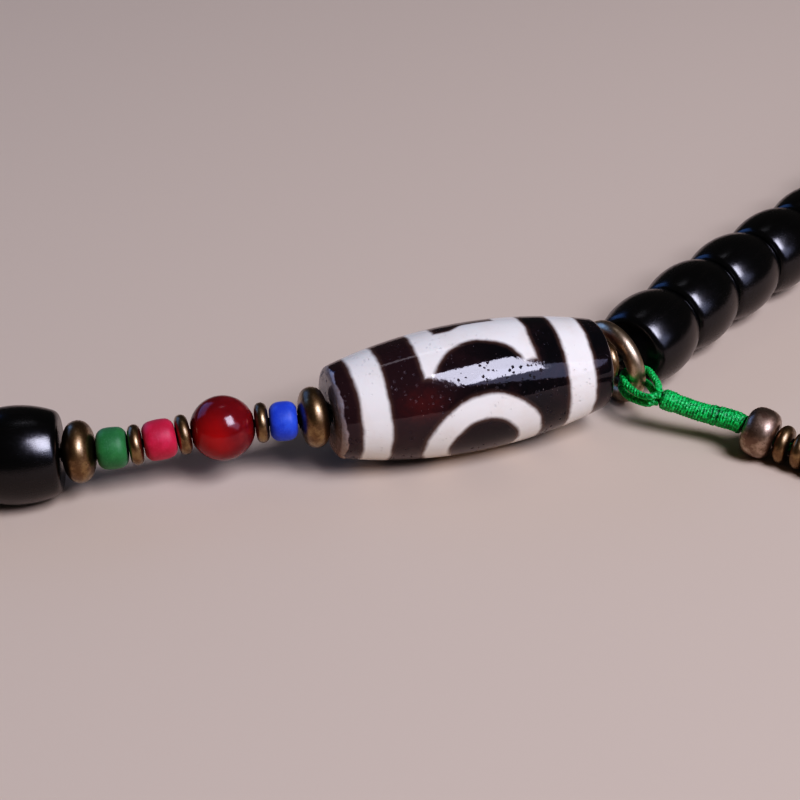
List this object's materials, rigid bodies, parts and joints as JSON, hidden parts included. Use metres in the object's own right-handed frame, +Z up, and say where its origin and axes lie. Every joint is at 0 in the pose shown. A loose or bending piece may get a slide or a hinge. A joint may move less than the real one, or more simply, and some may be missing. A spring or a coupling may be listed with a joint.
{
  "type": "beaded prayer bracelet",
  "caption": "Prayer bead string laid in an open loop, with a long patterned stone, a ball stone, glass beads, brass discs, and a corded counter on a ring.",
  "frame": {"origin": "on the surface that the string lies on, under the middle of the loop's box", "axes": "+Z up from that surface, +X to the right along the long patterned stone's side of the loop, +Y from that stone across the loop's longest way"},
  "size_m": [0.3093, 0.3174, 0.0124],
  "materials": {
    "black_bead": "polished, near black",
    "patterned_stone": "polished, dark red-brown with white bands",
    "red_stone": "polished, translucent red",
    "green_glass": "opaque, matte",
    "red_glass": "opaque, matte",
    "blue_glass": "opaque, matte",
    "aged_brass": "aged, satin",
    "thread": "dark twisted thread",
    "green_cord": "thread-wound, slight sheen"
  },
  "bodies": {
    "root": {"black_beads_right": "black_bead", "black_beads_left": "black_bead", "main_thread": "thread", "brass_disc_1": "aged_brass", "green_bead": "green_glass", "brass_disc_2": "aged_brass", "red_bead": "red_glass", "brass_disc_3": "aged_brass", "carnelian_bead": "red_stone", "brass_disc_4": "aged_brass", "blue_bead": "blue_glass", "brass_disc_5": "aged_brass", "dzi_bead": "patterned_stone", "brass_disc_6": "aged_brass", "counter_ring": "aged_brass", "counter_cord_upper": "green_cord", "counter_cord_lower": "green_cord", "counter_shank": "green_cord", "counter_barrel": "aged_brass", "counter_disc_1": "aged_brass", "counter_disc_2": "aged_brass", "counter_disc_3": "aged_brass", "counter_disc_4": "aged_brass", "counter_disc_5": "aged_brass", "counter_disc_6": "aged_brass", "counter_disc_7": "aged_brass", "counter_disc_8": "aged_brass", "counter_disc_9": "aged_brass", "counter_disc_10": "aged_brass"}
  },
  "joints": []
}
